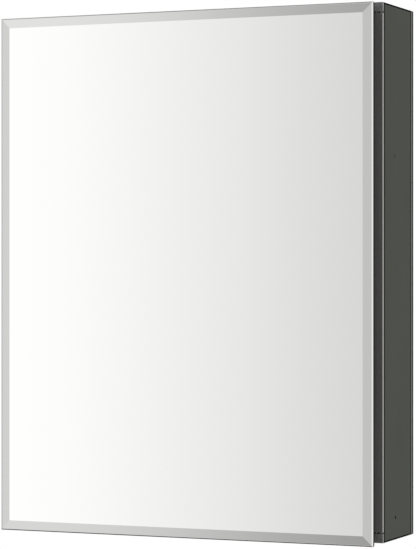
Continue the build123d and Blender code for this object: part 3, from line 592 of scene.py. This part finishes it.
def screw_set(node, body, name, inward, shank_r_mm):
    """Recessed screws in place of a CAD group. Inward is the way they are driven."""
    axis = max(range(3), key=lambda i: abs(inward[i]))
    boxes = split_boxes(node, axis)
    sideways = (axis + 1) % 3
    low, high = boxes[0]
    head_r = (high[sideways] - low[sideways]) / 2
    pattern = screw_shape(head_r, HEAD_DEPTH, shank_r_mm * MM, high[axis] - low[axis])
    copies = []
    for low, high in boxes:
        face = [(a + b) / 2 for a, b in zip(low, high)]
        drive = list(inward)
        # Upright screws at the bottom are driven the other way, up into the cabinet.
        if axis == 2 and face[2] < 0:
            drive = [-value for value in drive]
        face[axis] = low[axis] if drive[axis] > 0 else high[axis]
        copy = pattern.copy()
        copy.data = pattern.data.copy()
        bpy.context.scene.collection.objects.link(copy)
        copy.location = face
        copy.rotation_euler = Vector(drive).to_track_quat("Z", "Y").to_euler()
        clear_selection()
        copy.select_set(True)
        bpy.context.view_layer.objects.active = copy
        bpy.ops.object.transform_apply(location=True, rotation=True, scale=True)
        copies.append(copy)
    bpy.data.objects.remove(pattern)
    piece = join(copies, name)
    piece.data.materials.clear()
    piece.data.materials.append(FINISHES["zinc_screws"])
    smooth_shade(piece, 40)
    finish_piece(piece, body, node)


def domed_bumpers():
    """Round stick-on bumpers: a short drum with a rounded crown."""
    drums = []
    for low, high in split_boxes("door_bumpers", 1):
        clear_selection()
        radius, depth = (high[0] - low[0]) / 2, high[1] - low[1]
        centre = [(a + b) / 2 for a, b in zip(low, high)]
        bpy.ops.mesh.primitive_cylinder_add(vertices=32, radius=radius, depth=depth, location=centre,
                                            rotation=(pi / 2, 0, 0))
        drum = bpy.context.object
        bpy.ops.object.transform_apply(location=True, rotation=True, scale=True)
        front = low[1] + TOUCH
        pick_edges(drum, lambda a, b: max(a.y, b.y) < front)
        bpy.ops.mesh.bevel(offset=BUMPER_ROUNDING, segments=6, affect="EDGES")
        bpy.ops.object.mode_set(mode="OBJECT")
        drums.append(drum)
    piece = join(drums, "domed_bumpers")
    piece.data.materials.append(FINISHES["bumper_rubber"])
    smooth_shade(piece, 50)
    finish_piece(piece, CABINET, "door_bumpers")


# ---------------------------------------------------------------- stage, light and camera
FLOOR_DEPTH = 1.45              # below the cabinet's middle
FLOOR_SIZE = 4.6
FLOOR_CENTRE = -0.3
ROOM_LEVEL = 1.25
LAMP_PLACE = (-1.0, -2.2, 1.8)
LAMP_SIZE = 2.0
LAMP_POWER = 25
CAMERA_PLACE = (1.2179, -2.8797, -0.0029)
CAMERA_AZIMUTH = radians(23.315)
CAMERA_PITCH = radians(0.012)
CAMERA_LENS = 157.2

# Brightness round the room, as (degrees from straight in front towards the left, level).
# At eye level a white card stands to the front left. Above and below it the room is more even.
EYE_LEVEL = [(-180, 0.53), (-120, 0.58), (-60, 0.8), (0, 0.505), (8, 0.535), (19.4, 0.655), (21.7, 0.75),
             (24, 0.848), (25.9, 0.925), (28.4, 0.98), (33, 0.9), (41, 0.6), (60, 0.58), (90, 0.4),
             (113, 0.22), (140, 0.4), (180, 0.53)]
ABOVE_AND_BELOW = [(-180, 0.6), (-120, 0.6), (-60, 0.75), (0, 0.36), (8, 0.31), (19.4, 0.33), (24, 0.55),
                   (28.4, 0.74), (41, 0.6), (60, 0.6), (120, 0.6), (180, 0.6)]
EYE_BAND = (radians(7.5), radians(12.5))        # where eye level gives way to above and below
CEILING_BAND = (radians(50), radians(66))       # where the walls give way to the ceiling
BELOW_FACTOR = 0.89
CEILING_FACTOR = 0.45


def floor():
    """A plain pale floor, well below the hanging cabinet."""
    clear_selection()
    bpy.ops.mesh.primitive_plane_add(size=FLOOR_SIZE, location=(0, FLOOR_CENTRE, -FLOOR_DEPTH))
    plane = bpy.context.object
    plane.name = "floor"
    material, tree, shader, place = new_material("pale studio floor")
    dress(tree, shader, grain(tree, place, 400, detail=2.0), [(0.3, "#e6e6e4"), (0.7, "#ecece9")],
          fixed={"Roughness": 0.7})
    plane.data.materials.append(material)


def room_curve(tree, azimuth, levels):
    """A smooth brightness curve round the room from its (degrees, level) points."""
    node = add(tree, "ShaderNodeValToRGB", {"Fac": azimuth})
    node.color_ramp.interpolation = "CARDINAL"
    elements = node.color_ramp.elements
    while len(elements) < len(levels):
        elements.new(0.5)
    for element, (degrees, level) in zip(elements, levels):
        element.position = (degrees + 180) / 360
        element.color = (level, level, level, 1)
    return node.outputs["Color"]


def room_azimuth(tree, parts):
    """The direction round the room, from 0 to 1, with straight in front at a half."""
    left = add(tree, "ShaderNodeMath", {0: parts.outputs["X"], 1: -1.0}, operation="MULTIPLY")
    front = add(tree, "ShaderNodeMath", {0: parts.outputs["Y"], 1: -1.0}, operation="MULTIPLY")
    turn = add(tree, "ShaderNodeMath", {0: left.outputs[0], 1: front.outputs[0]}, operation="ARCTAN2")
    part = add(tree, "ShaderNodeMapRange", {"Value": turn.outputs[0], "From Min": -pi, "From Max": pi})
    return part.outputs["Result"]


def room_level(tree, parts):
    """The room's brightness in every direction."""
    azimuth = room_azimuth(tree, parts)
    height = add(tree, "ShaderNodeMath", {0: parts.outputs["Z"]}, operation="ARCSINE").outputs[0]
    steepness = add(tree, "ShaderNodeMath", {0: height}, operation="ABSOLUTE").outputs[0]
    away = add(tree, "ShaderNodeMapRange", {"Value": steepness, "From Min": EYE_BAND[0],
                                            "From Max": EYE_BAND[1]})
    walls = add(tree, "ShaderNodeMix", {"Factor": away.outputs["Result"],
                                        6: room_curve(tree, azimuth, EYE_LEVEL),
                                        7: room_curve(tree, azimuth, ABOVE_AND_BELOW)}, data_type="RGBA")
    below = add(tree, "ShaderNodeMapRange", {"Value": height, "From Min": -EYE_BAND[0],
                                             "From Max": -EYE_BAND[1], "To Min": 1.0,
                                             "To Max": BELOW_FACTOR})
    ceiling = add(tree, "ShaderNodeMapRange", {"Value": steepness, "From Min": CEILING_BAND[0],
                                               "From Max": CEILING_BAND[1], "To Min": 1.0,
                                               "To Max": CEILING_FACTOR})
    shaded = add(tree, "ShaderNodeMath", {0: below.outputs["Result"], 1: ceiling.outputs["Result"]},
                 operation="MULTIPLY")
    lit = add(tree, "ShaderNodeMath", {0: walls.outputs[2], 1: shaded.outputs[0]}, operation="MULTIPLY")
    return add(tree, "ShaderNodeMath", {0: lit.outputs[0], 1: ROOM_LEVEL}, operation="MULTIPLY").outputs[0]


def studio_world():
    """White studio: a broad soft card to the front left, paler walls elsewhere, white behind the cabinet."""
    world = bpy.data.worlds.new("studio")
    bpy.context.scene.world = world
    world.use_nodes = True
    tree = world.node_tree
    tree.nodes.clear()
    direction = add(tree, "ShaderNodeTexCoord").outputs["Generated"]
    parts = add(tree, "ShaderNodeSeparateXYZ", {0: direction})
    seen = add(tree, "ShaderNodeLightPath").outputs["Is Camera Ray"]
    shown = add(tree, "ShaderNodeMix", {"Factor": seen, "A": room_level(tree, parts), "B": 1.0})
    background = add(tree, "ShaderNodeBackground", {"Strength": shown.outputs["Result"],
                                                    "Color": (1, 1, 1, 1)})
    output = add(tree, "ShaderNodeOutputWorld")
    tree.links.new(background.outputs[0], output.inputs["Surface"])


def soft_lamp():
    """One broad overhead lamp that shapes the body, kept out of the reflections."""
    clear_selection()
    bpy.ops.object.light_add(type="AREA", location=LAMP_PLACE)
    lamp = bpy.context.object
    lamp.name = "overhead_lamp"
    lamp.data.shape = "DISK"
    lamp.data.size = LAMP_SIZE
    lamp.data.energy = LAMP_POWER
    lamp.rotation_euler = (Vector((0, 0, 0)) - lamp.location).to_track_quat("-Z", "Y").to_euler()
    lamp.visible_glossy = False


def camera():
    """The camera, just right of the cabinet and level with its middle."""
    clear_selection()
    bpy.ops.object.camera_add(location=CAMERA_PLACE, rotation=(pi / 2 + CAMERA_PITCH, 0, CAMERA_AZIMUTH))
    view = bpy.context.object
    view.data.lens = CAMERA_LENS
    view.data.sensor_width = 36
    view.data.clip_end = 50
    bpy.context.scene.camera = view
    bpy.context.scene.view_settings.view_transform = "Standard"


finish_cad_nodes()
mirror_door_glass()
for shelf_name in ("shelf_lower", "shelf_middle", "shelf_upper"):
    glass_shelf(shelf_name)
for corner in ("top_right", "top_left", "bottom_right", "bottom_left"):
    soften("corner_block_" + corner, CABINET, "corner_casting", "cast_corner_" + corner, 0.5, 3)
for level in ("lower", "middle", "upper"):
    soften("shelf_clips_" + level, CABINET, "zinc_screws", "pressed_clips_" + level, 0.35)
for side in ("right", "left"):
    soften("side_cover_" + side, CABINET, "side_sheet", "side_sheet_" + side, 0.3)
    soften("door_stile_" + side, DOOR, "door_frame", "framed_stile_" + side, 0.35)
for end in ("top", "bottom"):
    soften("door_rail_" + end, DOOR, "door_frame", "framed_rail_" + end, 0.35)
    soften(end + "_panel", CABINET, "side_sheet", "folded_" + end, 0.3)
for end in ("front", "rear"):
    for side in ("right", "left"):
        track = "shelf_track_" + side + "_" + end
        soften(track, CABINET, "track_aluminium", "slotted_" + track, 0.25)
soften("hole_caps", CABINET, "black_moulding", "moulded_caps", 0.12)
soften("back_rivets", CABINET, "zinc_screws", "back_rivets_domed", 0.45, 3)
soften("track_rivets", CABINET, "zinc_screws", "track_rivets_domed", 0.3, 3)
soften("catch_magnet", CABINET, "magnet", "ground_magnet", 0.25)
soften("hinge_pin", CABINET, "hinge_steel", "turned_pin", 0.25)
soften("catch_housing", CABINET, "black_moulding", "moulded_catch", 0.4)
soften("strike_plate", DOOR, "hinge_steel", "pressed_strike", 0.3)
soften("inner_mirror", DOOR, "mirror_glass", "inner_mirror_glass", 0.5)
soften("back_mirror", CABINET, "mirror_glass", "back_mirror_glass", 0.5)
screw_set("front_corner_screws", CABINET, "front_corner_screws_recessed", (0, 0, -1), 1.8)
screw_set("rear_corner_screws", CABINET, "rear_corner_screws_recessed", (0, 0, -1), 1.8)
screw_set("hinge_body_screws", CABINET, "hinge_body_screws_recessed", (0, 1, 0), 1.3)
screw_set("hinge_door_screws", DOOR, "hinge_door_screws_recessed", (1, 0, 0), 1.3)
screw_set("catch_screws", CABINET, "catch_screws_recessed", (1, 0, 0), 1.4)
screw_set("strike_screws", DOOR, "strike_screws_recessed", (0, -1, 0), 1.3)
domed_bumpers()
floor()
studio_world()
soft_lamp()
camera()
